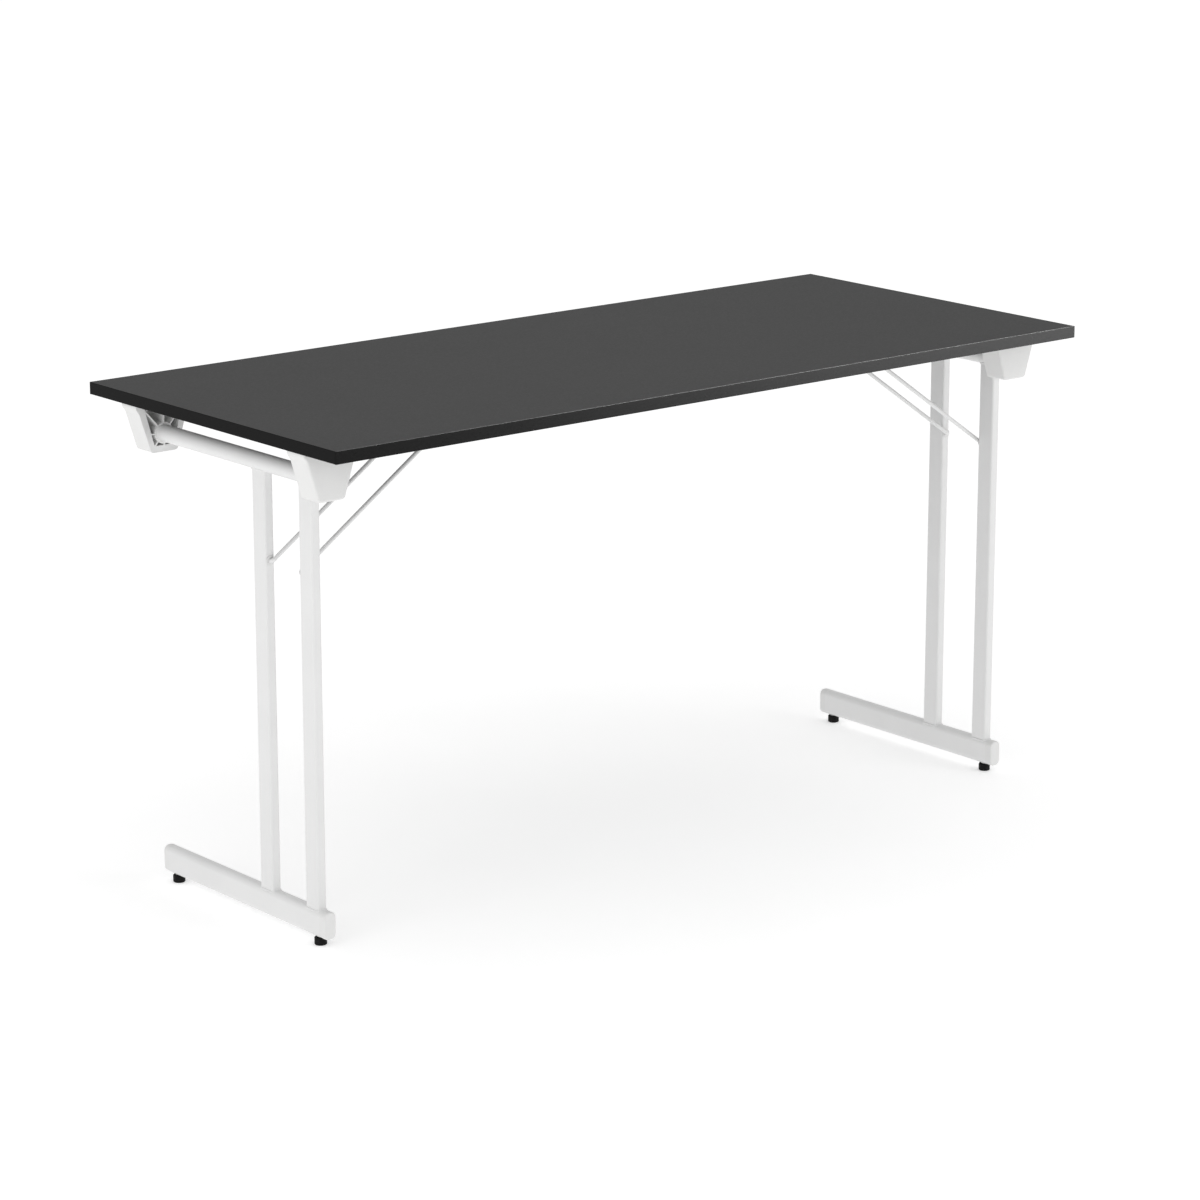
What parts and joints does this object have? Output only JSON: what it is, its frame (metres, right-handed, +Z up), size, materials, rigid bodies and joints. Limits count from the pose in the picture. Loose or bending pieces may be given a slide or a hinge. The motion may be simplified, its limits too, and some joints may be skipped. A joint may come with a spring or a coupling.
{
  "type": "folding table",
  "caption": "Folding table: rectangular grey board, two white fold-in leg frames on hinge tubes, U-shaped wire stays, rounded feet with levelling pads.",
  "frame": {"origin": "on the floor, under the middle of the board", "axes": "+X along the board's length, -Y towards the front long edge, +Z up"},
  "size_m": [1.4, 0.6, 0.732],
  "materials": {
    "particleboard": "raw pressed chip core, hidden",
    "top_laminate": "matt mid grey melamine with a fine texture",
    "underside_laminate": "matt grey balancing laminate",
    "edge_band": "satin grey edging with a small round",
    "bracket_plastic": "white moulded plastic, fine spark texture",
    "cap_plastic": "white moulded plastic",
    "frame_paint": "white powder coat, satin",
    "wire_paint": "white powder coat, satin",
    "lock_plastic": "white moulded plastic",
    "latch_plastic": "white moulded plastic",
    "pad_plastic": "black moulded plastic",
    "bush_plastic": "white acetal",
    "spring_steel": "oiled spring wire",
    "zinc_steel": "bright zinc plate"
  },
  "bodies": {
    "top": {"board_core": "particleboard", "bracket_screws": "zinc_steel", "clip_screws": "zinc_steel", "edge_band_front": "edge_band", "edge_band_left": "edge_band", "edge_band_rear": "edge_band", "edge_band_right": "edge_band", "hinge_bracket_left_front": "bracket_plastic", "hinge_bracket_left_rear": "bracket_plastic", "hinge_bracket_right_front": "bracket_plastic", "hinge_bracket_right_rear": "bracket_plastic", "latch_pin_left": "zinc_steel", "latch_pin_right": "zinc_steel", "latch_spring_left": "spring_steel", "latch_spring_right": "spring_steel", "lock_housing_left": "lock_plastic", "lock_housing_right": "lock_plastic", "lock_screws": "zinc_steel", "stay_clip_left": "lock_plastic", "stay_clip_right": "lock_plastic", "top_laminate": "top_laminate", "underside_laminate": "underside_laminate"},
    "frame_left": {"foot_cap_left_front": "cap_plastic", "foot_cap_left_rear": "cap_plastic", "foot_inserts_left": "zinc_steel", "foot_tube_left": "frame_paint", "hinge_tube_left": "frame_paint", "leg_left_front": "frame_paint", "leg_left_rear": "frame_paint", "stay_bushes_left": "bush_plastic"},
    "frame_right": {"foot_cap_right_front": "cap_plastic", "foot_cap_right_rear": "cap_plastic", "foot_inserts_right": "zinc_steel", "foot_tube_right": "frame_paint", "hinge_tube_right": "frame_paint", "leg_right_front": "frame_paint", "leg_right_rear": "frame_paint", "stay_bushes_right": "bush_plastic"},
    "levelling_left_front": {"glide_left_front_pad": "pad_plastic", "glide_left_front_stem": "zinc_steel"},
    "levelling_left_rear": {"glide_left_rear_pad": "pad_plastic", "glide_left_rear_stem": "zinc_steel"},
    "levelling_right_front": {"glide_right_front_pad": "pad_plastic", "glide_right_front_stem": "zinc_steel"},
    "levelling_right_rear": {"glide_right_rear_pad": "pad_plastic", "glide_right_rear_stem": "zinc_steel"},
    "latch_left": {"lock_latch_left": "latch_plastic"},
    "latch_right": {"lock_latch_right": "latch_plastic"},
    "stay_arms_left": {"stay_left": "wire_paint"},
    "stay_arms_right": {"stay_right": "wire_paint"}
  },
  "joints": [
    {"name": "fold_left", "type": "hinge", "parent": "top", "child": "frame_left", "pos_m": [-0.6515, 0, 0.67], "axis": [0, -1, 0], "range_deg": [0, 90]},
    {"name": "stay_pivot_left", "type": "hinge", "parent": "frame_left", "child": "stay_arms_left", "pos_m": [-0.6515, -0.113, 0.532], "axis": [0, -1, 0], "range_deg": [-118.19, 0]},
    {"name": "latch_release_left", "type": "hinge", "parent": "top", "child": "latch_left", "pos_m": [-0.3895, -0.113, 0.7082], "axis": [0, 1, 0], "range_deg": [0, 15], "stiffness_Nm_per_rad": 0.05, "springref_deg": -17.19},
    {"name": "level_left_front", "type": "slide", "parent": "frame_left", "child": "levelling_left_front", "axis": [0, 0, -1], "range_m": [-0.0009, 0.012]},
    {"name": "level_left_rear", "type": "slide", "parent": "frame_left", "child": "levelling_left_rear", "axis": [0, 0, -1], "range_m": [-0.0009, 0.012]},
    {"name": "fold_right", "type": "hinge", "parent": "top", "child": "frame_right", "pos_m": [0.6515, 0, 0.67], "axis": [0, 1, 0], "range_deg": [0, 87.5]},
    {"name": "stay_pivot_right", "type": "hinge", "parent": "frame_right", "child": "stay_arms_right", "pos_m": [0.6515, -0.113, 0.532], "axis": [0, 1, 0], "range_deg": [-114.55, 0]},
    {"name": "latch_release_right", "type": "hinge", "parent": "top", "child": "latch_right", "pos_m": [0.3895, -0.113, 0.7082], "axis": [0, -1, 0], "range_deg": [0, 15], "stiffness_Nm_per_rad": 0.05, "springref_deg": -17.19},
    {"name": "level_right_front", "type": "slide", "parent": "frame_right", "child": "levelling_right_front", "axis": [0, 0, -1], "range_m": [-0.0009, 0.012]},
    {"name": "level_right_rear", "type": "slide", "parent": "frame_right", "child": "levelling_right_rear", "axis": [0, 0, -1], "range_m": [-0.0009, 0.012]}
  ],
  "couplings": [
    {"joint": "stay_pivot_left", "follows": "fold_left", "ratio": -1.3132},
    {"joint": "stay_pivot_right", "follows": "fold_right", "ratio": -1.309}
  ]
}
